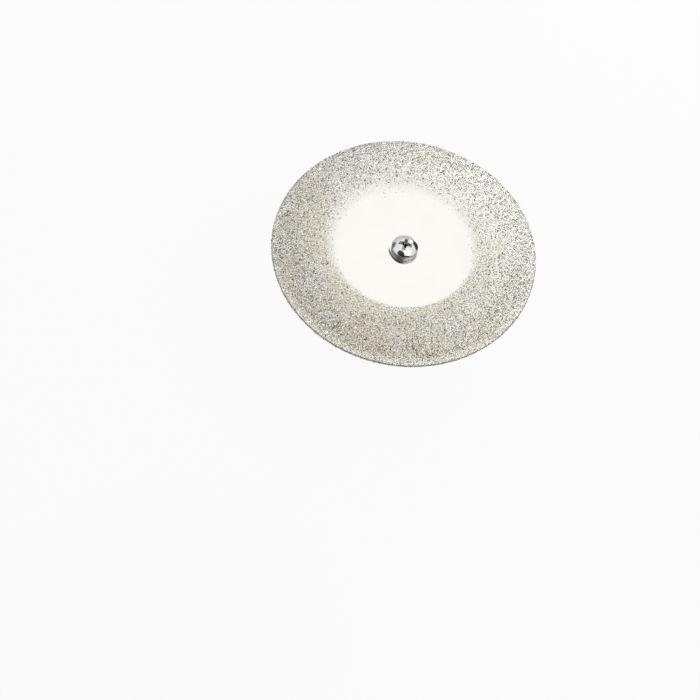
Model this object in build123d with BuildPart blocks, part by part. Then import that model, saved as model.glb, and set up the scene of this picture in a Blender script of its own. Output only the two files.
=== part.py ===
"""Diamond cutting disc, 50 mm across, clamped on a 3 mm mandrel by a cross-recess screw.

All sizes are in millimetres. +Z runs along the mandrel's axis towards the screw head,
and the origin lies on that axis at the free end of the shank.
"""

import os
from math import radians, sqrt, tan

from build123d import *

os.makedirs("parts", exist_ok=True)

# Disc: a thin steel blank with a plated ring of grit on both faces and round the rim
disc_diameter = 50.0
blank_thickness = 0.4
bare_centre_diameter = 25.0
coating_thickness = 0.1
coating_rim_radius = 0.15
coating_feather_width = 1.2
coating_feather_edge = 0.02

# Clamp screw with a low domed head
thread_diameter = 2.5
screw_length = 6.0
thread_end_chamfer = 0.3
head_diameter = 5.0
head_height = 2.1
head_side_height = 1.2
head_edge_radius = 0.25
head_seat_radius = 0.12

# Cross recess in the head: four tapered wings that a cone cuts off, with a shallow point
recess_span = 2.6
recess_depth = 1.2
recess_wing_width = 0.76
recess_core_diameter = 1.27
recess_corner_cut = 0.16
recess_wing_taper = 5.75
recess_point_angle = 28.0

# Mandrel: shank, cone, neck and clamping collar, with a tapped hole for the screw
shank_diameter = 3.0
shank_length = 28.0
shank_end_chamfer = 0.35
cone_length = 2.5
cone_blend_radius = 1.0
neck_diameter = 4.6
neck_past_hole = 0.2
collar_diameter = 6.0
collar_thickness = 1.5
collar_edge_chamfer = 0.2
collar_root_radius = 0.4
hole_run_out = 1.2
hole_mouth_chamfer = 0.2
drill_point_angle = 118.0

# Clearances, all radial
bore_clearance = 0.05
thread_clearance = 0.02

# Radii that follow from the sizes
coating_radius = disc_diameter / 2
bare_radius = bare_centre_diameter / 2
blank_radius = coating_radius - coating_thickness
thread_radius = thread_diameter / 2
head_radius = head_diameter / 2
hole_radius = thread_radius + thread_clearance
shank_radius = shank_diameter / 2
neck_radius = neck_diameter / 2
collar_radius = collar_diameter / 2

# Heights that follow from the sizes
hole_depth = screw_length - blank_thickness + hole_run_out
neck_bottom = shank_length + cone_length
collar_bottom = neck_bottom + hole_depth + neck_past_hole - collar_thickness
seat_height = collar_bottom + collar_thickness
front_face = seat_height + blank_thickness
head_side_top = front_face + head_side_height
head_top = front_face + head_height
thread_end = front_face - screw_length

# Steel blank, a flat round sheet with the bore in its middle
with BuildPart() as steel_blank:
    with BuildSketch(Plane.XY.offset(seat_height)):
        Circle(blank_radius)
        Circle(thread_radius + bore_clearance, mode=Mode.SUBTRACT)
    extrude(amount=blank_thickness)

steel_blank.part.label = "steel_blank"
export_step(steel_blank.part, "parts/steel_blank.step")

# Diamond coating, a channel that grips the rim and thins out towards the bare centre
coating_front = front_face + coating_thickness
coating_back = seat_height - coating_thickness
full_coating_radius = bare_radius + coating_feather_width

with BuildPart() as diamond_coating:
    with BuildSketch(Plane.XZ) as coating_section:
        with BuildLine():
            Polyline(
                (blank_radius, front_face),
                (bare_radius, front_face),
                (bare_radius, front_face + coating_feather_edge),
                (full_coating_radius, coating_front),
                (coating_radius, coating_front),
                (coating_radius, coating_back),
                (full_coating_radius, coating_back),
                (bare_radius, seat_height - coating_feather_edge),
                (bare_radius, seat_height),
                (blank_radius, seat_height),
                close=True,
            )
        make_face()
        fillet(coating_section.vertices().group_by(Axis.X)[-1], coating_rim_radius)
    revolve(axis=Axis.Z)

diamond_coating.part.label = "diamond_coating"
export_step(diamond_coating.part, "parts/diamond_coating.step")

# Cutting shape of the cross recess, narrowing towards its point
dome_height = head_height - head_side_height
dome_radius = (head_radius**2 + dome_height**2) / (2 * dome_height)
recess_rim_drop = dome_radius - sqrt(dome_radius**2 - (recess_span / 2) ** 2)
recess_core_radius = recess_core_diameter / 2
recess_end_slope = (recess_span / 2 - recess_core_radius) / (recess_depth - recess_rim_drop)
recess_top_radius = recess_span / 2 + recess_rim_drop * recess_end_slope
recess_foot = head_top - recess_depth
recess_point = recess_foot - recess_core_radius * tan(radians(recess_point_angle))

with BuildPart() as cross_recess:
    with BuildSketch(Plane.XY.offset(head_top)) as cross_outline:
        Rectangle(2 * recess_top_radius, recess_wing_width)
        Rectangle(recess_wing_width, 2 * recess_top_radius)
        inner_corners = cross_outline.vertices().sort_by_distance((0, 0))[:4]
        chamfer(inner_corners, recess_corner_cut)
    extrude(amount=recess_point - head_top, taper=recess_wing_taper)
    with BuildSketch(Plane.XZ):
        with BuildLine():
            Polyline(
                (0, head_top),
                (recess_top_radius, head_top),
                (recess_core_radius, recess_foot),
                (0, recess_point),
                close=True,
            )
        make_face()
    revolve(axis=Axis.Z, mode=Mode.INTERSECT)

# Clamp screw
with BuildPart() as clamp_screw:
    with BuildSketch(Plane.XZ) as screw_section:
        with BuildLine():
            TangentArc((0, head_top), (head_radius, head_side_top), tangent=(1, 0))
            Polyline(
                (head_radius, head_side_top),
                (head_radius, front_face),
                (thread_radius, front_face),
                (thread_radius, thread_end + thread_end_chamfer),
                (thread_radius - thread_end_chamfer, thread_end),
                (0, thread_end),
                (0, head_top),
            )
        make_face()
        seat_edge, dome_edge = screw_section.vertices().group_by(Axis.X)[-1].sort_by(Axis.Y)
        fillet(seat_edge, head_seat_radius)
        fillet(dome_edge, head_edge_radius)
    revolve(axis=Axis.Z)
    add(cross_recess.part, mode=Mode.SUBTRACT)

clamp_screw.part.label = "clamp_screw"
export_step(clamp_screw.part, "parts/clamp_screw.step")

# Mandrel
hole_floor = seat_height - hole_depth
hole_tip = hole_floor - hole_radius / tan(radians(drill_point_angle / 2))

with BuildPart() as mandrel:
    with BuildSketch(Plane.XZ) as mandrel_section:
        with BuildLine():
            Polyline(
                (0, 0),
                (shank_radius, 0),
                (shank_radius, shank_length),
                (neck_radius, neck_bottom),
                (neck_radius, collar_bottom),
                (collar_radius, collar_bottom),
                (collar_radius, seat_height),
                (0, seat_height),
                close=True,
            )
        make_face()
        corners = mandrel_section.vertices()
        shank_end = corners.sort_by_distance((shank_radius, 0))[0]
        cone_foot = corners.sort_by_distance((shank_radius, shank_length))[0]
        collar_root = corners.sort_by_distance((neck_radius, collar_bottom))[0]
        collar_edges = corners.group_by(Axis.X)[-1]
        chamfer(shank_end, shank_end_chamfer)
        chamfer(collar_edges, collar_edge_chamfer)
        fillet(cone_foot, cone_blend_radius)
        fillet(collar_root, collar_root_radius)
    revolve(axis=Axis.Z)
    with BuildSketch(Plane.XZ):
        with BuildLine():
            Polyline(
                (0, seat_height),
                (hole_radius + hole_mouth_chamfer, seat_height),
                (hole_radius, seat_height - hole_mouth_chamfer),
                (hole_radius, hole_floor),
                (0, hole_tip),
                close=True,
            )
        make_face()
    revolve(axis=Axis.Z, mode=Mode.SUBTRACT)

mandrel.part.label = "mandrel"
export_step(mandrel.part, "parts/mandrel.step")
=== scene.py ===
"""Looks of a diamond cutting disc that is clamped on its mandrel by a cross-recess screw.

Lengths are in metres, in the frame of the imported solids: the mandrel's axis is Z, the
screw head faces up and the shank's free end lies at the origin.
"""

import math

import bpy
from mathutils import Matrix, Vector


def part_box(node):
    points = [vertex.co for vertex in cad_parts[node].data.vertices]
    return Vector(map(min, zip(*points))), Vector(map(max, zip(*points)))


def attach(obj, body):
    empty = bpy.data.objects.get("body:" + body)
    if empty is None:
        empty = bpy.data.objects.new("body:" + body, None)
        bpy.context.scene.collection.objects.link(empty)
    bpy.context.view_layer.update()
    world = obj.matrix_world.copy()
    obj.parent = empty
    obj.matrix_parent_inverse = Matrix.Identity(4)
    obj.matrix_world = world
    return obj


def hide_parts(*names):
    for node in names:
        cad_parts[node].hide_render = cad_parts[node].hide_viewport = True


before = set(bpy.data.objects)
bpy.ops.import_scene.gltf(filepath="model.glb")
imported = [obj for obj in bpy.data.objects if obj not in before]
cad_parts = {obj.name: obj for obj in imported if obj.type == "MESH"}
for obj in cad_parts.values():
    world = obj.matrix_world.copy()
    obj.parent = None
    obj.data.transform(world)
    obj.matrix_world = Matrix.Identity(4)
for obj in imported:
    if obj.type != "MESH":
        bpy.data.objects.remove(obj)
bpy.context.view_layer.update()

bl_info = {
    "name": "Diamond Cutting Disc",
    "version": (1, 0, 0),
    "blender": (4, 5, 0),
    "location": "3D View > Sidebar > Cutting Disc",
    "description": "Gives a diamond cutting disc and its mandrel their surfaces and their stage",
    "category": "Object",
}

MM = 0.001
PER_MM = 1000.0

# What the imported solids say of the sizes
COATING_LOW, COATING_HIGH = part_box("diamond_coating")
BLANK_LOW, BLANK_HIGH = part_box("steel_blank")
SCREW_LOW, SCREW_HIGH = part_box("clamp_screw")
MANDREL_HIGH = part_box("mandrel")[1]
DISC_MIDDLE = (COATING_LOW.z + COATING_HIGH.z) / 2
SEAT_HEIGHT = BLANK_HIGH.z

# Kinds of property
LENGTH = {"subtype": "DISTANCE", "unit": "LENGTH"}
ANGLE = {"subtype": "ANGLE", "unit": "ROTATION"}
COLOUR = {"subtype": "COLOR", "min": 0, "max": 1}

# How finely the turned pieces are divided round the axis
BOND_SEGMENTS = 480
GRAIN_BED_SEGMENTS = 240
TURNED_SEGMENTS = 128
CONE_SEGMENTS = 96

# The radius from which a turned piece closes to a point
POLE_RADIUS = 0.01 * MM

# Grains to the square metre, before their spacing thins them out
GRAIN_DENSITY = 60.0e6

# A place that no two faces of a turned ring are equally far from, to sort them by
OFF_SYMMETRY = (0.0281, 0.01056, 0.0)

# A painted shadow arc on the bare plate beside the head: its side, as a turn from +X, and its gap to the
# head
SHADOW_ARC_SIDE = math.radians(233)
SHADOW_ARC_GAP = 0.35 * MM

# Angles of the cross recess, and of the drill that made the mandrel's hole
WING_TAPER = math.radians(5.75)
RECESS_POINT_ANGLE = math.radians(28)
DRILL_HALF_ANGLE = math.radians(59)


class DiscSizes(bpy.types.PropertyGroup):
    """The plated ring of the disc and the grains that stand in it."""

    bare_radius: bpy.props.FloatProperty(
        name="Bare centre radius",
        description="Where the plated ring begins",
        default=12.5 * MM, **LENGTH)
    feather: bpy.props.FloatProperty(
        name="Feather",
        description="Width over which the plating comes up to its full thickness",
        default=1.2 * MM, **LENGTH)
    fade_short: bpy.props.FloatProperty(
        name="Short fade",
        description="Width over which the grains set in where the plating mask lay tight",
        default=0.5 * MM, **LENGTH)
    fade_long: bpy.props.FloatProperty(
        name="Long fade",
        description="Width over which the grains set in on the opposite side",
        default=5.5 * MM, **LENGTH)
    fade_side: bpy.props.FloatProperty(
        name="Fade side",
        description="Turn from +X to the side where the grains set in most slowly",
        default=math.radians(116), **ANGLE)
    # Painted light: the plating is made brighter towards this side.
    painted_lit_side: bpy.props.FloatProperty(
        name="Painted light side",
        description="Turn from +X to the side where the plating is brightest",
        default=math.radians(70), **ANGLE)
    # Painted highlight along the rim's corner: the side where it is strongest, and the band's width.
    rim_highlight_side: bpy.props.FloatProperty(
        name="Rim highlight side",
        description="Turn from +X to the side where the corner of the rim is worn bright",
        default=math.radians(-70), **ANGLE)
    bright_rim: bpy.props.FloatProperty(
        name="Bright rim",
        description="Width of the brighter band along the rim of the faces",
        default=1.8 * MM, **LENGTH)
    rim_rounding: bpy.props.FloatProperty(
        name="Rim rounding",
        description="Radius of the two corners of the plated rim",
        default=0.15 * MM, **LENGTH)
    bond_sink: bpy.props.FloatProperty(
        name="Bond sink",
        description="How far the nickel between the grains lies under the coating's surface",
        default=0.04 * MM, **LENGTH)
    grain_spacing: bpy.props.FloatProperty(
        name="Grain spacing",
        description="Least distance between the middles of two grains",
        default=0.24 * MM, **LENGTH)
    grain_small: bpy.props.FloatProperty(
        name="Smallest grain",
        description="Width of the smallest grains",
        default=0.2 * MM, **LENGTH)
    grain_large: bpy.props.FloatProperty(
        name="Largest grain",
        description="Width of the largest grains",
        default=0.38 * MM, **LENGTH)
    grain_lean: bpy.props.FloatProperty(
        name="Grain lean",
        description="Largest tilt of a grain from the surface it stands in",
        default=math.radians(32), **ANGLE)
    seed: bpy.props.IntProperty(
        name="Seed",
        description="Which of the random layouts of grains is used",
        default=7)


class DiscColours(bpy.types.PropertyGroup):
    """Colours of the disc's surfaces."""

    bare_metal: bpy.props.FloatVectorProperty(
        name="Bare centre",
        description="Bright nickel plate of the bare centre",
        default=(0.965, 0.955, 0.905), **COLOUR)
    bond_light: bpy.props.FloatVectorProperty(
        name="Bond, light",
        description="Nickel between the grains where it is thick and smooth",
        default=(0.9, 0.885, 0.85), **COLOUR)
    # Painted shade: the bond's colour where its bumps are lowest.
    bond_hollow_shade: bpy.props.FloatVectorProperty(
        name="Bond, dark",
        description="Nickel in the hollows between the grains",
        default=(0.3, 0.295, 0.27), **COLOUR)
    grain_light: bpy.props.FloatVectorProperty(
        name="Grains, light",
        description="The brightest grains",
        default=(0.97, 0.952, 0.92), **COLOUR)
    tarnish: bpy.props.FloatVectorProperty(
        name="Tarnish",
        description="Straw tint of the older plating, away from the slow fade",
        default=(0.55, 0.49, 0.29), **COLOUR)
    grain_dark: bpy.props.FloatVectorProperty(
        name="Grains, dark",
        description="The darkest grains",
        default=(0.17, 0.165, 0.14), **COLOUR)


class ScrewSizes(bpy.types.PropertyGroup):
    """The clamp screw with its domed head and cross recess."""

    side_height: bpy.props.FloatProperty(
        name="Side height",
        description="Height of the head's upright side",
        default=1.2 * MM, **LENGTH)
    head_height: bpy.props.FloatProperty(
        name="Head height",
        description="Height of the head up to the top of its dome",
        default=2.1 * MM, **LENGTH)
    edge_rounding: bpy.props.FloatProperty(
        name="Edge rounding",
        description="Radius between the head's side and its dome",
        default=0.25 * MM, **LENGTH)
    seat_rounding: bpy.props.FloatProperty(
        name="Seat rounding",
        description="Radius of the head's lower edge",
        default=0.12 * MM, **LENGTH)
    recess_span: bpy.props.FloatProperty(
        name="Recess span",
        description="Width of the cross recess where it meets the dome",
        default=2.6 * MM, **LENGTH)
    recess_depth: bpy.props.FloatProperty(
        name="Recess depth",
        description="Depth of the recess's wings below the top of the dome",
        default=1.2 * MM, **LENGTH)
    wing_width: bpy.props.FloatProperty(
        name="Wing width",
        description="Width of the recess's wings at the top of the dome",
        default=0.76 * MM, **LENGTH)
    core_radius: bpy.props.FloatProperty(
        name="Core radius",
        description="Radius of the recess at the foot of its wings",
        default=0.635 * MM, **LENGTH)
    thread_radius: bpy.props.FloatProperty(
        name="Thread radius",
        description="Outer radius of the thread",
        default=1.25 * MM, **LENGTH)
    thread_pitch: bpy.props.FloatProperty(
        name="Thread pitch",
        description="Rise of the thread over one turn",
        default=0.45 * MM, **LENGTH)
    colour: bpy.props.FloatVectorProperty(
        name="Plate",
        description="Colour of the screw's bright plate",
        default=(0.83, 0.83, 0.82), **COLOUR)


class MandrelSizes(bpy.types.PropertyGroup):
    """The mandrel that carries the disc."""

    shank_radius: bpy.props.FloatProperty(
        name="Shank radius",
        description="Radius of the shank that a collet grips",
        default=1.5 * MM, **LENGTH)
    shank_length: bpy.props.FloatProperty(
        name="Shank length",
        description="Length of the shank up to the cone",
        default=28 * MM, **LENGTH)
    cone_length: bpy.props.FloatProperty(
        name="Cone length",
        description="Length of the cone between shank and neck",
        default=2.5 * MM, **LENGTH)
    neck_radius: bpy.props.FloatProperty(
        name="Neck radius",
        description="Radius of the neck that holds the tapped hole",
        default=2.3 * MM, **LENGTH)
    collar_thickness: bpy.props.FloatProperty(
        name="Collar thickness",
        description="Thickness of the collar that the disc is clamped against",
        default=1.5 * MM, **LENGTH)
    hole_radius: bpy.props.FloatProperty(
        name="Hole radius",
        description="Radius of the tapped hole",
        default=1.27 * MM, **LENGTH)
    hole_depth: bpy.props.FloatProperty(
        name="Hole depth",
        description="Depth of the tapped hole down to its drill point",
        default=6.8 * MM, **LENGTH)
    colour: bpy.props.FloatVectorProperty(
        name="Steel",
        description="Colour of the turned steel",
        default=(0.54, 0.535, 0.52), **COLOUR)


class StageSettings(bpy.types.PropertyGroup):
    """The camera, the lamps and the floor."""

    azimuth: bpy.props.FloatProperty(
        name="Camera azimuth",
        description="Turn of the camera round the mandrel's axis, from -Y towards +X",
        default=math.radians(6.0), **ANGLE)
    elevation: bpy.props.FloatProperty(
        name="Camera elevation",
        description="Angle of the line of sight to the disc's face",
        default=math.radians(60.2), **ANGLE)
    roll: bpy.props.FloatProperty(
        name="Camera roll",
        description="Turn of the camera about its line of sight",
        default=math.radians(10.2), **ANGLE)
    distance: bpy.props.FloatProperty(
        name="Camera distance",
        description="Depth of the disc's middle in front of the camera",
        default=350 * MM, **LENGTH)
    floor_colour: bpy.props.FloatVectorProperty(
        name="Floor",
        description="Colour of the floor",
        default=(0.86, 0.86, 0.86), **COLOUR)


class Wire:
    """An output of a node, which sums and products carry on through Math nodes."""

    def __init__(self, board, socket):
        self.board = board
        self.socket = socket

    def out(self, name):
        """Another output of the same node."""
        return Wire(self.board, self.socket.node.outputs[name])

    def __add__(self, other):
        return self.board.math("ADD", self, other)

    def __radd__(self, other):
        return self.board.math("ADD", other, self)

    def __sub__(self, other):
        return self.board.math("SUBTRACT", self, other)

    def __rsub__(self, other):
        return self.board.math("SUBTRACT", other, self)

    def __mul__(self, other):
        return self.board.math("MULTIPLY", self, other)

    def __rmul__(self, other):
        return self.board.math("MULTIPLY", other, self)

    def __truediv__(self, other):
        return self.board.math("DIVIDE", self, other)

    def __pow__(self, other):
        return self.board.math("POWER", self, other)


class Board:
    """A node tree that is being wired."""

    def __init__(self, tree):
        self.tree = tree
        tree.nodes.clear()

    def node(self, kind, settings=None, inputs=None):
        """Adds a node: its settings first, then the values or links of its sockets."""
        made = self.tree.nodes.new(kind)
        for name, value in (settings or {}).items():
            if name == "stops":
                set_stops(made.color_ramp, value)
            else:
                setattr(made, name, value)
        for name, value in (inputs or {}).items():
            if isinstance(value, Wire):
                self.tree.links.new(value.socket, made.inputs[name])
            elif value is not None:
                made.inputs[name].default_value = value
        return Wire(self, made.outputs[0]) if made.outputs else None

    def math(self, operation, *values, clamp=False):
        """One Math node on numbers or wires."""
        settings = {"operation": operation, "use_clamp": clamp}
        return self.node("ShaderNodeMath", settings, dict(enumerate(values)))

    def ramp(self, value, low, high, to_low=0.0, to_high=1.0):
        """A smooth step of the value from low to high. Low may be the greater of the two."""
        inputs = {"Value": value, "From Min": low, "From Max": high, "To Min": to_low, "To Max": to_high}
        return self.node("ShaderNodeMapRange", {"interpolation_type": "SMOOTHSTEP"}, inputs)

    def clamped(self, value):
        """The value held between 0 and 1."""
        return self.math("ADD", value, 0.0, clamp=True)

    def towards(self, angle, side):
        """A share from 0 to 1: how far the angle looks to that side."""
        return 0.5 + 0.5 * self.math("COSINE", angle - side)

    def mix(self, factor, first, second):
        """A blend of two colours."""
        mixed = self.node("ShaderNodeMix", {"data_type": "RGBA"}, {0: factor, 6: first, 7: second})
        return mixed.out(2)

    def noise(self, place, scale, detail=2.0, roughness=0.5):
        """Noise between 0 and 1 at a place in millimetres."""
        inputs = {"Vector": place, "Scale": scale, "Detail": detail, "Roughness": roughness}
        return self.node("ShaderNodeTexNoise", None, inputs)

    def place_mm(self):
        """The object's own coordinates in millimetres."""
        place = self.node("ShaderNodeTexCoord").out("Object")
        return self.node("ShaderNodeVectorMath", {"operation": "SCALE"}, {0: place, "Scale": PER_MM})

    def polar(self, place):
        """Radius, angle and height of a place round the mandrel's axis."""
        x = self.node("ShaderNodeSeparateXYZ", None, {0: place})
        y = x.out("Y")
        radius = (x * x + y * y) ** 0.5
        angle = self.math("ARCTAN2", y, x)
        return radius, angle, x.out("Z")

    def plating(self, place, sizes):
        """How fully the grains cover the blank at a place: 0 in the bare centre, 1 further out."""
        radius, angle, _ = self.polar(place)
        side = self.towards(angle, sizes.fade_side)
        short = sizes.fade_short * PER_MM
        spread = short + (sizes.fade_long * PER_MM - short) * side
        start = sizes.bare_radius * PER_MM - 0.1
        ragged = self.noise(place, 0.8, 3.0) - 0.5
        return self.clamped((radius + 0.7 * ragged - start) / spread)

    def painted_light_and_tarnish(self, place, sizes):
        """Shares at a place: painted light on the plating (a glow by the inner edge, one side brighter, a
        highlight on the rim's corner), painted shade on the upright rim, and the tarnish.
        """
        radius, angle, height = self.polar(place)
        side = self.towards(angle, sizes.fade_side)
        bare = sizes.bare_radius * PER_MM
        rim = COATING_HIGH.x * PER_MM
        band = sizes.bright_rim * PER_MM
        # Painted light: brighter towards one side.
        painted_lit_share = self.towards(angle, sizes.painted_lit_side)
        # Painted highlight, partly real thinner plating: brighter near the inner edge, most on the
        # slow-fade side.
        inner = self.ramp(radius, bare, bare + 8.0, 1.0, 0.0) * (0.2 + 0.8 * side)
        # Painted shade: the upright rim of the disc is darkened.
        off_middle = self.math("ABSOLUTE", height - DISC_MIDDLE * PER_MM)
        half = (COATING_HIGH.z - DISC_MIDDLE) * PER_MM
        near_rim = self.math("GREATER_THAN", radius, rim - 1)
        painted_rim_shade = self.ramp(off_middle, half - 0.02, half - 0.1) * near_rim
        # Painted highlight: a bright band on the rim's corner, strongest towards one side.
        highlit = self.towards(angle, sizes.rim_highlight_side)
        corner = self.ramp(radius, rim - band, rim - 0.3 * band) * highlit * (1 - painted_rim_shade)
        outer = self.ramp(radius, bare + 1.5, bare + 7.0)
        # Painted light: the inner glow, the brighter side and the rim highlight together.
        light = self.clamped(0.5 * inner + 0.4 * painted_lit_share * outer + 0.9 * corner)
        old = self.ramp(self.noise(place, 0.2, 2.0) + 0.3 * painted_lit_share, 0.4, 0.85, 0.29, 0.08)
        return light, painted_rim_shade, old

    def bump(self, strength, distance, height):
        """Normals of a bumpy surface, from a height between 0 and 1 and a distance in metres."""
        inputs = {"Strength": strength, "Distance": distance, "Height": height}
        return self.node("ShaderNodeBump", None, inputs)

    def vector(self, x, y, z):
        """A vector from three numbers or wires."""
        return self.node("ShaderNodeCombineXYZ", None, {0: x, 1: y, 2: z})


def set_stops(color_ramp, stops):
    """Gives a colour ramp its stops, each a position and a grey level."""
    while len(color_ramp.elements) > 1:
        color_ramp.elements.remove(color_ramp.elements[-1])
    for index, (position, level) in enumerate(stops):
        stop = color_ramp.elements[0] if index == 0 else color_ramp.elements.new(position)
        stop.position = position
        stop.color = (level, level, level, 1.0)


def opaque(colour):
    """A colour with full alpha."""
    return (*colour, 1.0)


def new_material(name):
    """An empty node material and its board."""
    material = bpy.data.materials.new(name)
    material.use_nodes = True
    return material, Board(material.node_tree)


def new_geometry_tree(name):
    """An empty geometry node tree, with a geometry in and a geometry out, and its board."""
    tree = bpy.data.node_groups.new(name, "GeometryNodeTree")
    for way in ("INPUT", "OUTPUT"):
        tree.interface.new_socket("Geometry", in_out=way, socket_type="NodeSocketGeometry")
    return tree, Board(tree)


def finish_material(board, **sockets):
    """A Principled shader with those sockets, joined to the material's output."""
    inputs = {name.replace("_", " ").title(): value for name, value in sockets.items()}
    shader = board.node("ShaderNodeBsdfPrincipled", None, inputs)
    board.node("ShaderNodeOutputMaterial", None, {"Surface": shader})


def turned_marks(board, place, across, along):
    """Fine marks that run round the axis: noise that is drawn out along the turn."""
    radius, angle, height = board.polar(place)
    return board.noise(board.vector(radius * across, angle * along, height * across), 1.0, 3.0, 0.6)


def bright_plate_material(colour):
    """Polished nickel of the bare centre, with faint mop marks and a painted dark shadow arc on one side of
    the head.
    """
    material, board = new_material("bright_nickel_plate")
    place = board.place_mm()
    marks = turned_marks(board, place, 14.0, 5.0)
    clouds = board.noise(place, 0.22, 2.0)
    duller = [0.985 * share for share in colour]
    tone = board.mix(board.ramp(clouds, 0.35, 0.7), opaque(colour), opaque(duller))
    radius, angle, _ = board.polar(place)
    # Painted shadow: a dark arc on the plate round one side of the screw head, a little rougher there too.
    off_ring = board.math("ABSOLUTE", radius - (SCREW_HIGH.x + SHADOW_ARC_GAP) * PER_MM)
    on_side = board.ramp(board.towards(angle, SHADOW_ARC_SIDE), 0.8, 0.96)
    painted_shadow_arc = board.ramp(off_ring, 0.2, 0.08) * on_side
    tone = board.mix(0.9 * painted_shadow_arc, tone, (0.04, 0.04, 0.035, 1.0))
    finish_material(
        board, base_color=tone, metallic=1.0,
        roughness=0.055 + 0.05 * marks + 0.03 * clouds + 0.1 * painted_shadow_arc,
        normal=board.bump(0.03, 0.02 * MM, marks))
    return material


def bond_material(colours, sizes):
    """Matt nickel between the grains: painted shade in its hollows, painted light and shade from the bands,
    and bare metal where the ring fades.
    """
    material, board = new_material("nickel_bond")
    place = board.place_mm()
    lumps = board.noise(place, 4.0, 3.0, 0.65)
    fine = board.noise(place, 18.0, 2.0)
    light, painted_rim_shade, old = board.painted_light_and_tarnish(place, sizes)
    # Painted shade in the bond's low bumps; painted light brightens it, and painted shade darkens the
    # upright rim.
    share = board.clamped(board.ramp(lumps, 0.4, 0.64) + 0.9 * light - 0.7 * painted_rim_shade)
    rough = board.mix(share, opaque(colours.bond_hollow_shade), opaque(colours.bond_light))
    rough = board.mix(old, rough, opaque(colours.tarnish))
    cover = board.ramp(board.plating(place, sizes), 0.0, 0.8)
    tone = board.mix(cover, opaque(colours.bare_metal), rough)
    relief = (lumps * 0.7 + fine * 0.3) * cover
    finish_material(
        board, base_color=tone, metallic=1.0, roughness=0.1 + cover * (0.26 + 0.2 * fine),
        normal=board.bump(0.9, 0.06 * MM, relief))
    return material


def grain_material(colours, sizes):
    """Diamond grains in a skin of nickel: each has a tone of its own, from grey to glinting, with painted
    light and painted shade from the bands.
    """
    material, board = new_material("diamond_grains")
    place = board.place_mm()
    own = board.node("ShaderNodeAttribute", {"attribute_name": "tone"}).out("Fac")
    stops = [(0.0, 0.0), (0.34, 0.06), (0.42, 0.6), (0.6, 0.85), (0.8, 1.0)]
    spread = board.node("ShaderNodeValToRGB", {"stops": stops}, {"Fac": own})
    clouds = board.noise(place, 0.9, 2.0)
    light, painted_rim_shade, old = board.painted_light_and_tarnish(place, sizes)
    thin = board.ramp(board.plating(place, sizes), 0.0, 0.9, 0.75, 0.0)
    # Painted light brightens the grains, and painted shade darkens them on the upright rim.
    share = spread * (0.85 + 0.3 * clouds) * (1 - 0.6 * painted_rim_shade) + 0.35 * light
    share = board.clamped(share + (1 - share) * thin)
    tone = board.mix(share, opaque(colours.grain_dark), opaque(colours.grain_light))
    tone = board.mix(old, tone, opaque(colours.tarnish))
    pits = board.noise(place, 16.0, 2.0)
    finish_material(
        board, base_color=tone, metallic=0.9, roughness=0.42 - 0.16 * own + 0.1 * pits,
        normal=board.bump(0.25, 0.03 * MM, pits))
    return material


def screw_material(sizes):
    """Bright plate with faint handling marks; the head's side is dull and darkened with painted shade, and
    the recess has painted shade and a painted black shadow at its floor.
    """
    material, board = new_material("bright_screw_plate")
    place = board.place_mm()
    smears = board.noise(place, 1.6, 3.0, 0.6)
    handled = [0.88 * share for share in sizes.colour]
    plate = board.mix(board.ramp(smears, 0.4, 0.75), opaque(sizes.colour), opaque(handled))
    radius, _, height = board.polar(place)
    seat = SEAT_HEIGHT * PER_MM
    top = seat + sizes.head_height * PER_MM
    head = SCREW_HIGH.x * PER_MM
    above_seat = board.math("GREATER_THAN", height, seat)
    # Painted shade: the recess gets darker and rougher with depth.
    depth = board.ramp(height, top - 0.3, top - 1.1) * board.ramp(radius, 1.4, 1.2) * above_seat
    # Painted shadow: a near-black spot at the floor of the recess.
    pit_shadow_middle = (0.08, 0.36, top - 1.3)
    spot = board.node("ShaderNodeVectorMath", {"operation": "DISTANCE"}, {0: place, 1: pit_shadow_middle})
    painted_pit_shadow = board.ramp(spot.out("Value"), 0.5, 0.3)
    # Painted shade: the head's upright side is darkened in colour, and it is also rougher.
    below_dome = board.ramp(height, seat + 1.3, seat + 1.1)
    side = board.ramp(radius, head - 0.1, head - 0.02) * below_dome * above_seat
    tone = board.mix(0.3 * depth + 0.55 * side, plate, (0.09, 0.09, 0.088, 1.0))
    tone = board.mix(painted_pit_shadow, tone, (0.012, 0.012, 0.011, 1.0))
    ripple = board.noise(place, 1.6, 1.0)
    finish_material(
        board, base_color=tone, metallic=1.0,
        roughness=0.05 + 0.1 * smears + 0.3 * depth + 0.35 * side,
        normal=board.bump(0.1, 0.04 * MM, ripple))
    return material


def mandrel_material(colour):
    """Turned steel with the fine rings that the tool left."""
    material, board = new_material("turned_steel")
    place = board.place_mm()
    rings = turned_marks(board, place, 9.0, 0.8)
    smears = board.noise(place, 0.5, 3.0, 0.6)
    darker = opaque([0.8 * share for share in colour])
    tone = board.mix(board.ramp(rings * 0.6 + smears * 0.4, 0.35, 0.7), darker, opaque(colour))
    finish_material(
        board, base_color=tone, metallic=1.0, roughness=0.16 + 0.16 * rings,
        normal=board.bump(0.25, 0.03 * MM, rings))
    return material


def rounded(corners, steps=6):
    """The rings of a turned outline. Each corner is a radius, a height and its rounding."""
    rings = []
    for index, (radius, height, rounding) in enumerate(corners):
        corner = Vector((radius, height))
        if not rounding:
            rings.append(corner)
            continue
        before = (Vector(corners[index - 1][:2]) - corner).normalized()
        after = (Vector(corners[(index + 1) % len(corners)][:2]) - corner).normalized()
        half = before.angle(after) / 2
        centre = corner + (before + after).normalized() * rounding / math.sin(half)
        first = corner + before * rounding / math.tan(half) - centre
        last = corner + after * rounding / math.tan(half) - centre
        sweep = first.angle_signed(last)
        for step in range(steps + 1):
            rings.append(centre + Matrix.Rotation(-sweep * step / steps, 2) @ first)
    return rings


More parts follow.
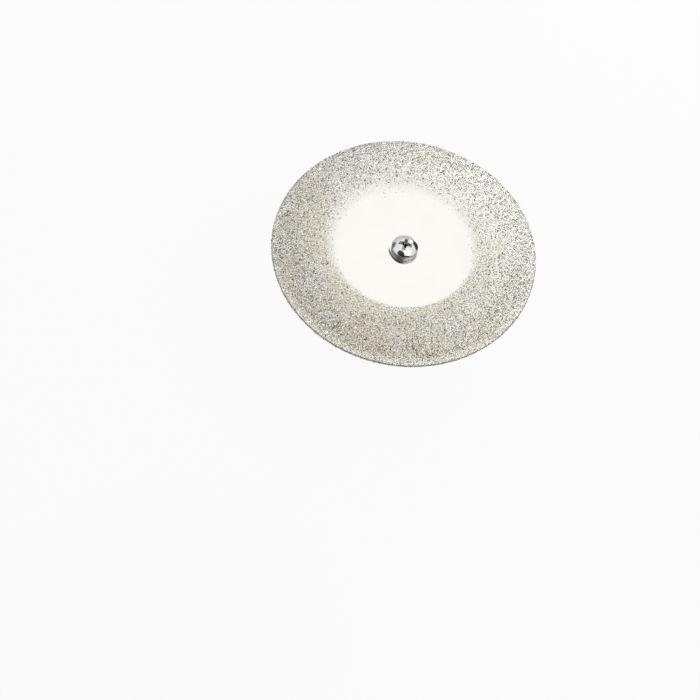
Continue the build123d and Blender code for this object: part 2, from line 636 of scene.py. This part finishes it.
def turned(name, rings, segments, start_cap=True, end="cap"):
    """A turned piece: a circle at the first ring, extruded on to each next ring."""
    bpy.ops.object.select_all(action="DESELECT")
    fill = "NGON" if start_cap else "NOTHING"
    bpy.ops.mesh.primitive_circle_add(
        vertices=segments, radius=rings[0].x, fill_type=fill, location=(0, 0, rings[0].y))
    piece = bpy.context.object
    piece.name = name
    piece.data.name = name
    bpy.ops.object.transform_apply(location=True, rotation=True, scale=True)
    bpy.ops.object.mode_set(mode="EDIT")
    for last, ring in zip(rings, rings[1:]):
        bpy.ops.mesh.extrude_edges_move()
        scale = ring.x / last.x
        bpy.ops.transform.resize(value=(scale, scale, 1), center_override=(0, 0, last.y))
        bpy.ops.transform.translate(value=(0, 0, ring.y - last.y))
    if end == "cap":
        bpy.ops.mesh.edge_face_add()
    elif end == "point":
        bpy.ops.mesh.merge(type="CENTER")
    bpy.ops.mesh.select_all(action="SELECT")
    bpy.ops.mesh.remove_doubles(threshold=0.0005 * MM)
    bpy.ops.mesh.normals_make_consistent(inside=False)
    bpy.ops.object.mode_set(mode="OBJECT")
    return piece


def select_only(piece):
    """Makes a piece the one that the next operator acts on."""
    bpy.ops.object.select_all(action="DESELECT")
    piece.select_set(True)
    bpy.context.view_layer.objects.active = piece


def smooth(piece, degrees=30):
    """Smooth shading, apart from edges sharper than the angle."""
    select_only(piece)
    bpy.ops.object.shade_smooth_by_angle(angle=math.radians(degrees))


def apply_modifier(piece, kind, **settings):
    """Adds a modifier with those settings and applies it."""
    select_only(piece)
    modifier = piece.modifiers.new(kind.lower(), kind)
    for name, value in settings.items():
        setattr(modifier, name, value)
    bpy.ops.object.modifier_apply(modifier=modifier.name)


def dress(piece, material):
    """Gives a piece its one material."""
    piece.data.materials.clear()
    piece.data.materials.append(material)


def remove(*objects):
    """Deletes objects that only helped to make a piece."""
    for helper in objects:
        mesh = helper.data
        bpy.data.objects.remove(helper)
        bpy.data.meshes.remove(mesh)


def crystal(name, sides, top_share, height_share):
    """One grain of unit width: a prism whose smaller top is turned half a side round."""
    bpy.ops.object.select_all(action="DESELECT")
    bpy.ops.mesh.primitive_cylinder_add(
        vertices=sides, radius=0.5, depth=height_share, end_fill_type="NGON", location=(0, 0, 0))
    grain = bpy.context.object
    grain.name = name
    bpy.ops.object.mode_set(mode="EDIT")
    bpy.ops.mesh.select_mode(type="FACE")
    bpy.ops.mesh.select_all(action="DESELECT")
    bpy.ops.object.mode_set(mode="OBJECT")
    for face in grain.data.polygons:
        face.select = face.normal.z > 0.9
    bpy.ops.object.mode_set(mode="EDIT")
    top = (0, 0, height_share / 2)
    bpy.ops.transform.resize(value=(top_share, top_share, 1), center_override=top)
    bpy.ops.transform.rotate(value=math.pi / sides, orient_axis="Z", center_override=top)
    bpy.ops.mesh.select_all(action="SELECT")
    bpy.ops.mesh.quads_convert_to_tris()
    bpy.ops.mesh.normals_make_consistent(inside=False)
    bpy.ops.object.mode_set(mode="OBJECT")
    return grain


def scatter_tree(crystals, sizes):
    """Geometry nodes that set grains into a surface and remember a tone for each."""
    tree, board = new_geometry_tree("set_grains")
    surface = board.node("NodeGroupInput")
    place = board.node("GeometryNodeInputPosition")
    place = board.node("ShaderNodeVectorMath", {"operation": "SCALE"}, {0: place, "Scale": PER_MM})
    points = board.node(
        "GeometryNodeDistributePointsOnFaces", {"distribute_method": "POISSON"},
        {"Mesh": surface, "Distance Min": sizes.grain_spacing, "Density Max": GRAIN_DENSITY,
         "Density Factor": board.ramp(board.plating(place, sizes), 0.0, 0.25), "Seed": sizes.seed})
    kit = board.node("GeometryNodeJoinGeometry")
    for grain in reversed(crystals):
        kind = board.node("GeometryNodeObjectInfo", None, {"Object": grain, "As Instance": True})
        tree.links.new(kind.out("Geometry").socket, kit.socket.node.inputs[0])
    lean = board.node(
        "FunctionNodeRandomValue", {"data_type": "FLOAT_VECTOR"},
        {0: (-sizes.grain_lean, -sizes.grain_lean, 0), 1: (sizes.grain_lean, sizes.grain_lean, math.tau),
         "Seed": sizes.seed + 1})
    own_turn = board.node("FunctionNodeEulerToRotation", None, {0: lean})
    turn = board.node(
        "FunctionNodeRotateRotation", {"rotation_space": "LOCAL"},
        {"Rotation": points.out("Rotation"), "Rotate By": own_turn})
    chance = random_share(board, sizes.seed + 2)
    grown = board.ramp(board.plating(place, sizes), 0.0, 0.5, 0.55, 1.0)
    width = (sizes.grain_small + (sizes.grain_large - sizes.grain_small) * chance ** 1.4) * grown
    long = width * (0.85 + 0.4 * random_share(board, sizes.seed + 3))
    tall = width * (0.8 + 0.35 * random_share(board, sizes.seed + 4))
    pick = board.node(
        "FunctionNodeRandomValue", {"data_type": "INT"},
        {4: 0, 5: len(crystals) - 1, "Seed": sizes.seed + 5}).out(2)
    grains = board.node(
        "GeometryNodeInstanceOnPoints", None,
        {"Points": points, "Instance": kit, "Pick Instance": True, "Instance Index": pick,
         "Rotation": turn, "Scale": board.vector(width, long, tall)})
    toned = board.node(
        "GeometryNodeStoreNamedAttribute", {"data_type": "FLOAT", "domain": "INSTANCE"},
        {"Geometry": grains, "Name": "tone", "Value": random_share(board, sizes.seed + 6)})
    solid = board.node("GeometryNodeRealizeInstances", None, {0: toned})
    board.node("NodeGroupOutput", None, {0: solid})
    return tree


def random_share(board, seed):
    """A random number between 0 and 1 for each grain."""
    inputs = {2: 0.0, 3: 1.0, "Seed": seed}
    return board.node("FunctionNodeRandomValue", {"data_type": "FLOAT"}, inputs).out(1)


def sort_faces(piece):
    """Puts a piece's faces in a settled order: extrude leaves them in another one at each run."""
    select_only(piece)
    bpy.context.scene.cursor.location = OFF_SYMMETRY
    bpy.ops.object.mode_set(mode="EDIT")
    bpy.ops.mesh.select_all(action="SELECT")
    bpy.ops.mesh.sort_elements(type="CURSOR_DISTANCE", elements={"FACE"})
    bpy.ops.object.mode_set(mode="OBJECT")
    bpy.context.scene.cursor.location = (0, 0, 0)


def set_grains(name, rings, tree):
    """A piece of loose grains that stand in a turned surface, which itself goes."""
    piece = turned(name, rings, GRAIN_BED_SEGMENTS, start_cap=False, end="open")
    sort_faces(piece)
    apply_modifier(piece, "NODES", node_group=tree)
    return piece


def bond_surface(sizes):
    """Where the nickel between the grains lies: its outer radius, its front and its back."""
    outer = COATING_HIGH.x - sizes.bond_sink
    front = COATING_HIGH.z - sizes.bond_sink
    back = COATING_LOW.z + sizes.bond_sink
    return outer, front, back


class DISC_OT_polish_blank(bpy.types.Operator):
    """Gives the steel blank its bright nickel plate"""

    bl_idname = "disc.polish_blank"
    bl_label = "Polish the blank"

    def execute(self, context):
        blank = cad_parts["steel_blank"]
        dress(blank, bright_plate_material(context.scene.disc_colours.bare_metal))
        return {"FINISHED"}


class DISC_OT_plate_bond(bpy.types.Operator):
    """Makes the nickel layer that holds the grains, wrapped round the blank's rim"""

    bl_idname = "disc.plate_bond"
    bl_label = "Plate the bond"

    def execute(self, context):
        sizes = context.scene.disc_sizes
        outer, front, back = bond_surface(sizes)
        bare = sizes.bare_radius
        full = bare + sizes.feather
        inner = BLANK_HIGH.x
        corners = [
            (inner, BLANK_HIGH.z, 0),
            (bare, BLANK_HIGH.z, 0),
            (full, front, 0),
            (outer, front, sizes.rim_rounding),
            (outer, back, sizes.rim_rounding),
            (full, back, 0),
            (bare, BLANK_LOW.z, 0),
            (inner, BLANK_LOW.z, 0),
            (inner, BLANK_HIGH.z, 0),
        ]
        bond = turned("nickel_bond", rounded(corners), BOND_SEGMENTS, start_cap=False, end="open")
        smooth(bond)
        dress(bond, bond_material(context.scene.disc_colours, sizes))
        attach(bond, "root")
        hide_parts("diamond_coating")
        return {"FINISHED"}


class DISC_OT_set_grains(bpy.types.Operator):
    """Sets the diamond grains into the bond, on both faces and round the rim"""

    bl_idname = "disc.set_grains"
    bl_label = "Set the grains"

    def execute(self, context):
        sizes = context.scene.disc_sizes
        outer, front, back = bond_surface(sizes)
        face_edge = outer - 0.1 * MM
        inner = sizes.bare_radius - 0.3 * MM
        crystals = [
            crystal("grain_three_sided", 3, 0.62, 0.75),
            crystal("grain_four_sided", 4, 0.6, 0.7),
            crystal("grain_five_sided", 5, 0.62, 0.7),
        ]
        tree = scatter_tree(crystals, sizes)
        corner = outer - sizes.rim_rounding
        half_flank = 0.12 * MM
        surfaces = {
            "front_grains": [Vector((face_edge, front)), Vector((inner, front))],
            "rim_grains": [
                Vector((corner, back)),
                Vector((outer, DISC_MIDDLE - half_flank)),
                Vector((outer, DISC_MIDDLE + half_flank)),
                Vector((corner, front))],
            "back_grains": [Vector((inner, back)), Vector((face_edge, back))],
        }
        material = grain_material(context.scene.disc_colours, sizes)
        for name, rings in surfaces.items():
            piece = set_grains(name, rings, tree)
            if not piece.data.polygons:
                raise RuntimeError("no grains were set on " + name)
            dress(piece, material)
            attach(piece, "root")
        remove(*crystals)
        return {"FINISHED"}


def dome_radius(sizes):
    """Radius of the ball that the top of the screw's head is cut from."""
    rise = sizes.head_height - sizes.side_height
    return (SCREW_HIGH.x ** 2 + rise ** 2) / (2 * rise)


def recess_cutter(sizes, top):
    """The body of the cross recess: tapered wings, cut to a cone with a shallow point."""
    ball = dome_radius(sizes)
    half_span = sizes.recess_span / 2
    drop = ball - math.sqrt(ball ** 2 - half_span ** 2)
    slope = (half_span - sizes.core_radius) / (sizes.recess_depth - drop)
    above = top + 0.2 * MM
    top_radius = half_span + (drop + above - top) * slope
    foot = top - sizes.recess_depth
    point = foot - sizes.core_radius * math.tan(RECESS_POINT_ANGLE)
    outline = [(top_radius, above), (sizes.core_radius, foot), (POLE_RADIUS, point)]
    cone = turned("recess_cone", [Vector(ring) for ring in outline], CONE_SEGMENTS, end="point")
    wings = []
    depth = above - point
    taper = 2 * depth * math.tan(WING_TAPER)
    corner_cut = 0.16 * MM
    bar = (2 * top_radius, sizes.wing_width)
    core = (math.sqrt(2) * (sizes.wing_width + corner_cut),) * 2
    for degrees, (across, width) in {0: bar, 90: bar, 45: core}.items():
        turn = math.radians(degrees)
        bpy.ops.object.select_all(action="DESELECT")
        bpy.ops.mesh.primitive_cube_add(size=1, location=(0, 0, (above + point) / 2), rotation=(0, 0, turn))
        wing = bpy.context.object
        wing.scale = (across, width, depth)
        bpy.ops.object.transform_apply(location=True, rotation=True, scale=True)
        narrow_foot(wing, turn, (across - taper) / across, (width - taper) / width, point)
        wings.append(wing)
    cutter = wings[0]
    for other in wings[1:]:
        apply_modifier(cutter, "BOOLEAN", operation="UNION", solver="EXACT", object=other)
    apply_modifier(cutter, "BOOLEAN", operation="INTERSECT", solver="EXACT", object=cone)
    remove(cone, *wings[1:])
    return cutter


def narrow_foot(wing, turn, share_x, share_y, height):
    """Makes a wing's lower end, at that height, smaller along the wing's own two directions."""
    bpy.ops.object.mode_set(mode="EDIT")
    bpy.ops.mesh.select_mode(type="VERT")
    bpy.ops.mesh.select_all(action="DESELECT")
    bpy.ops.object.mode_set(mode="OBJECT")
    for corner in wing.data.vertices:
        corner.select = abs(corner.co.z - height) < 0.001 * MM
    bpy.ops.object.mode_set(mode="EDIT")
    along = Matrix.Rotation(turn, 3, "Z")
    bpy.ops.transform.resize(
        value=(share_x, share_y, 1), orient_matrix=along, orient_matrix_type="GLOBAL",
        orient_type="GLOBAL", center_override=(0, 0, height))
    bpy.ops.object.mode_set(mode="OBJECT")


def thread_tree(sizes, top, bottom):
    """Geometry nodes that press a screw thread into the plain shank between two heights."""
    tree, board = new_geometry_tree("roll_thread")
    blank = board.node("NodeGroupInput")
    place = board.node("GeometryNodeInputPosition")
    radius, angle, height = board.polar(place)
    turns = height / sizes.thread_pitch - angle / math.tau
    ridge = board.math("PINGPONG", turns, 0.5) * 2
    depth = 0.61 * sizes.thread_pitch
    fade_in = board.ramp(height, bottom, bottom + 0.1 * MM)
    fade = board.ramp(height, top, top - sizes.thread_pitch) * fade_in
    share = 1 - depth * fade * (1 - board.ramp(ridge, 0.1, 0.8)) / sizes.thread_radius
    outside = board.math("GREATER_THAN", radius, 0.8 * sizes.thread_radius)
    below_head = board.math("LESS_THAN", height, top)
    inward = board.vector(share, share, 1.0)
    moved = board.node("ShaderNodeVectorMath", {"operation": "MULTIPLY"}, {0: place, 1: inward})
    pressed = board.node(
        "GeometryNodeSetPosition", None,
        {"Geometry": blank, "Selection": outside * below_head, "Position": moved})
    board.node("NodeGroupOutput", None, {0: pressed})
    return tree


class DISC_OT_make_screw(bpy.types.Operator):
    """Makes the clamp screw: domed head, cross recess and thread"""

    bl_idname = "disc.make_screw"
    bl_label = "Make the screw"

    def execute(self, context):
        sizes = context.scene.screw_sizes
        seat = SEAT_HEIGHT
        top = seat + sizes.head_height
        side_top = seat + sizes.side_height
        head = SCREW_HIGH.x
        thread = sizes.thread_radius
        chamfer = 0.3 * MM
        foot = SCREW_LOW.z + chamfer
        shank_rings = 96
        dome_rings = 24
        shank = [
            Vector((thread, foot + (seat - foot) * step / shank_rings)) for step in range(shank_rings + 1)]
        ball = dome_radius(sizes)
        reach = math.asin(head / ball) - 1.25 * sizes.edge_rounding / ball
        dome = []
        for step in range(dome_rings):
            angle = reach * (1 - step / dome_rings)
            dome.append(Vector((ball * math.sin(angle), top - ball * (1 - math.cos(angle)))))
        side = rounded([
            (thread, seat, 0),
            (head, seat, sizes.seat_rounding),
            (head, side_top, sizes.edge_rounding),
            (dome[0].x, dome[0].y, 0)])
        rings = [Vector((thread - chamfer, SCREW_LOW.z)), *shank, *side[1:-1], *dome]
        screw = turned("clamp_screw_plated", rings, TURNED_SEGMENTS, end="point")
        cutter = recess_cutter(sizes, top)
        apply_modifier(screw, "BOOLEAN", operation="DIFFERENCE", solver="EXACT", object=cutter)
        remove(cutter)
        plain_neck = 0.5 * MM
        tree = thread_tree(sizes, seat - plain_neck, SCREW_LOW.z)
        apply_modifier(screw, "NODES", node_group=tree)
        smooth(screw)
        dress(screw, screw_material(sizes))
        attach(screw, "root")
        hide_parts("clamp_screw")
        return {"FINISHED"}


class DISC_OT_turn_mandrel(bpy.types.Operator):
    """Turns the mandrel: shank, cone, neck, collar and tapped hole"""

    bl_idname = "disc.turn_mandrel"
    bl_label = "Turn the mandrel"

    def execute(self, context):
        sizes = context.scene.mandrel_sizes
        seat = MANDREL_HIGH.z
        collar = MANDREL_HIGH.x
        neck_bottom = sizes.shank_length + sizes.cone_length
        collar_bottom = seat - sizes.collar_thickness
        hole_floor = seat - sizes.hole_depth
        hole_tip = hole_floor - sizes.hole_radius / math.tan(DRILL_HALF_ANGLE)
        chamfer = 0.2 * MM
        end_chamfer = 0.35 * MM
        soft = 0.04 * MM
        outline = rounded([
            (sizes.shank_radius - end_chamfer, 0, 0),
            (sizes.shank_radius, end_chamfer, soft),
            (sizes.shank_radius, sizes.shank_length, 1.0 * MM),
            (sizes.neck_radius, neck_bottom, 0.3 * MM),
            (sizes.neck_radius, collar_bottom, 0.4 * MM),
            (collar - chamfer, collar_bottom, soft),
            (collar, collar_bottom + chamfer, soft),
            (collar, seat - chamfer, soft),
            (collar - chamfer, seat, soft),
            (sizes.hole_radius + chamfer, seat, 0),
            (sizes.hole_radius, seat - chamfer, 0),
            (sizes.hole_radius, hole_floor, 0),
            (POLE_RADIUS, hole_tip, 0),
        ])
        mandrel = turned("turned_mandrel", outline, TURNED_SEGMENTS, end="point")
        smooth(mandrel)
        dress(mandrel, mandrel_material(sizes.colour))
        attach(mandrel, "root")
        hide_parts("mandrel")
        return {"FINISHED"}


# Where the disc's middle lies in the 700 by 700 picture, and the picture's scale there
PICTURE_SIDE = 700
DISC_PIXEL = (404.1, 250.3)
PIXELS_PER_MM = 5.313
SENSOR_WIDTH = 36.0

# How far the dark cards stand from the disc, and the plain light of the room
FLAG_DISTANCE = 0.5
ROOM_LIGHT = 0.55


def set_camera(settings):
    """Puts the camera where the picture was taken from."""
    camera = bpy.data.objects.new("camera", bpy.data.cameras.new("camera"))
    bpy.context.scene.collection.objects.link(camera)
    bpy.context.scene.camera = camera
    focal = PIXELS_PER_MM * PER_MM * settings.distance
    camera.data.sensor_width = SENSOR_WIDTH
    camera.data.lens = SENSOR_WIDTH * focal / PICTURE_SIDE
    camera.data.clip_start = 0.01
    camera.data.clip_end = 20.0
    ahead = -direction(settings.azimuth, settings.elevation)
    level = Vector((math.cos(settings.azimuth), math.sin(settings.azimuth), 0))
    upright = level.cross(ahead)
    right = math.cos(settings.roll) * level + math.sin(settings.roll) * upright
    up = right.cross(ahead)
    offset_x = (DISC_PIXEL[0] - PICTURE_SIDE / 2) / focal * settings.distance
    offset_y = (PICTURE_SIDE / 2 - DISC_PIXEL[1]) / focal * settings.distance
    target = Vector((0, 0, DISC_MIDDLE))
    camera.location = target - right * offset_x - up * offset_y - ahead * settings.distance
    camera.rotation_euler = Matrix((right, up, -ahead)).transposed().to_euler()


def direction(azimuth, elevation):
    """The way from the disc to something that stands at those angles, -Y being azimuth 0."""
    flat = math.cos(elevation)
    return Vector((math.sin(azimuth) * flat, -math.cos(azimuth) * flat, math.sin(elevation)))


def stand_at(holder, settings, angles, distance):
    """Places a lamp or a flag by its azimuth from the camera and its elevation, facing the disc."""
    azimuth, elevation = (math.radians(angle) for angle in angles)
    way = direction(settings.azimuth + azimuth, elevation)
    holder.location = Vector((0, 0, DISC_MIDDLE)) + way * distance
    holder.rotation_euler = (-way).to_track_quat("-Z", "Y").to_euler()


def softbox(name, settings, angles, distance, size, energy):
    """A round area lamp that faces the disc."""
    lamp = bpy.data.lights.new(name, "AREA")
    lamp.shape = "DISK"
    lamp.size = size
    lamp.energy = energy
    holder = bpy.data.objects.new(name, lamp)
    bpy.context.scene.collection.objects.link(holder)
    stand_at(holder, settings, angles, distance)


def flag(name, settings, angles, width, height, density):
    """A dark card that only polished metal sees, as photographers set for bright plate."""
    bpy.ops.object.select_all(action="DESELECT")
    bpy.ops.mesh.primitive_plane_add(size=1.0)
    card = bpy.context.object
    card.name = name
    card.scale = (width, height, 1)
    bpy.ops.object.transform_apply(location=False, rotation=False, scale=True)
    stand_at(card, settings, angles, FLAG_DISTANCE)
    for ray in ("camera", "diffuse", "shadow", "transmission"):
        setattr(card, "visible_" + ray, False)
    dress(card, flag_material(density))


def flag_material(density):
    """Black cloth that thins out raggedly towards its edges."""
    material, board = new_material("black_cloth")
    uv = board.node("ShaderNodeTexCoord").out("UV")
    across = board.node("ShaderNodeSeparateXYZ", None, {0: uv})
    up = across.out("Y")
    ragged = board.noise(uv, 2.2, 2.0) - 0.5
    reach = ((2 * across - 1) ** 2 + (2 * up - 1) ** 2) ** 0.5 + 0.9 * ragged
    cloth = board.node("ShaderNodeBsdfDiffuse", None, {"Color": (0.02, 0.02, 0.02, 1)})
    gap = board.node("ShaderNodeBsdfTransparent")
    cover = board.ramp(reach, 0.65, 1.0, density, 0.0)
    soft = board.node("ShaderNodeMixShader", None, {0: cover, 1: gap, 2: cloth})
    board.node("ShaderNodeOutputMaterial", None, {"Surface": soft})
    return material


def light_world():
    """Soft light from all round. The camera sees white, and polished metal a greyer room low down."""
    world = bpy.data.worlds.new("soft_room")
    bpy.context.scene.world = world
    world.use_nodes = True
    board = Board(world.node_tree)
    path = board.node("ShaderNodeLightPath")
    way = board.node("ShaderNodeTexCoord").out("Generated")
    back = board.node("ShaderNodeSeparateXYZ", None, {0: way}).out("Y")
    mirrored = board.math("MAXIMUM", path.out("Is Glossy Ray"), path.out("Is Transmission Ray"))
    low = board.ramp(back, -0.3, 0.6, 0.2, 0.6)
    room = low + (1 - low) * board.ramp(back.out("Z"), 0.0, 0.75)
    level = ROOM_LIGHT + (room - ROOM_LIGHT) * mirrored
    level = level + (1 - level) * path.out("Is Camera Ray")
    light = board.node("ShaderNodeBackground", None, {"Color": (1, 1, 1, 1), "Strength": level})
    board.node("ShaderNodeOutputWorld", None, {"Surface": light})


def lay_floor(colour):
    """A plain pale floor, nearly white to the camera, that still takes a faint shadow."""
    bpy.ops.object.select_all(action="DESELECT")
    bpy.ops.mesh.primitive_plane_add(size=4.0, location=(0, 0, 0))
    floor = bpy.context.object
    floor.name = "floor"
    material, board = new_material("pale_floor")
    path = board.node("ShaderNodeLightPath")
    seen = board.math("MAXIMUM", path.out("Is Camera Ray"), path.out("Is Glossy Ray"))
    matt = board.node("ShaderNodeBsdfDiffuse", None, {"Color": opaque(colour)})
    white = board.node("ShaderNodeEmission", None, {"Color": (1, 1, 1, 1), "Strength": 1.0})
    shade = board.node("ShaderNodeMixShader", None, {0: 0.9 * seen, 1: matt, 2: white})
    board.node("ShaderNodeOutputMaterial", None, {"Surface": shade})
    dress(floor, material)


class DISC_OT_set_stage(bpy.types.Operator):
    """Sets the camera, the lamps, the world and the floor"""

    bl_idname = "disc.set_stage"
    bl_label = "Set the stage"

    def execute(self, context):
        settings = context.scene.stage_settings
        context.scene.view_settings.view_transform = "Standard"
        set_camera(settings)
        softbox("far_softbox", settings, (158, 24), distance=0.32, size=0.05, energy=0.24)
        softbox("top_softbox", settings, (55, 66), distance=0.4, size=0.24, energy=0.22)
        flag("lens_flag", settings, (-28, 57), width=0.5, height=0.36, density=0.95)
        flag("camera_flag", settings, (-2, 60), width=0.16, height=0.16, density=0.95)
        flag("front_flag", settings, (12, 36), width=1.1, height=0.4, density=0.95)
        flag("flag_left", settings, (-115, 22), width=0.42, height=0.3, density=0.75)
        flag("flag_right", settings, (132, 14), width=0.52, height=0.3, density=0.97)
        light_world()
        lay_floor(settings.floor_colour)
        return {"FINISHED"}


class DISC_PT_panel(bpy.types.Panel):
    """Sizes and colours of the disc, with a button for each step"""

    bl_idname = "DISC_PT_panel"
    bl_label = "Diamond cutting disc"
    bl_space_type = "VIEW_3D"
    bl_region_type = "UI"
    bl_category = "Cutting Disc"

    def draw(self, context):
        for step in STEPS:
            self.layout.operator(step.bl_idname)
        for name, group in SETTINGS.items():
            box = self.layout.box()
            for field in group.__annotations__:
                box.prop(getattr(context.scene, name), field)


SETTINGS = {
    "disc_sizes": DiscSizes,
    "disc_colours": DiscColours,
    "screw_sizes": ScrewSizes,
    "mandrel_sizes": MandrelSizes,
    "stage_settings": StageSettings,
}
STEPS = [
    DISC_OT_set_stage,
    DISC_OT_polish_blank,
    DISC_OT_plate_bond,
    DISC_OT_set_grains,
    DISC_OT_make_screw,
    DISC_OT_turn_mandrel,
]


def register():
    for name, group in SETTINGS.items():
        bpy.utils.register_class(group)
        setattr(bpy.types.Scene, name, bpy.props.PointerProperty(type=group))
    for step in STEPS:
        bpy.utils.register_class(step)
    bpy.utils.register_class(DISC_PT_panel)


def unregister():
    bpy.utils.unregister_class(DISC_PT_panel)
    for step in reversed(STEPS):
        bpy.utils.unregister_class(step)
    for name, group in SETTINGS.items():
        delattr(bpy.types.Scene, name)
        bpy.utils.unregister_class(group)


def main():
    """Makes every piece and the stage."""
    register()
    bpy.ops.disc.set_stage()
    bpy.ops.disc.polish_blank()
    bpy.ops.disc.plate_bond()
    bpy.ops.disc.set_grains()
    bpy.ops.disc.make_screw()
    bpy.ops.disc.turn_mandrel()


if __name__ == "__main__":
    main()
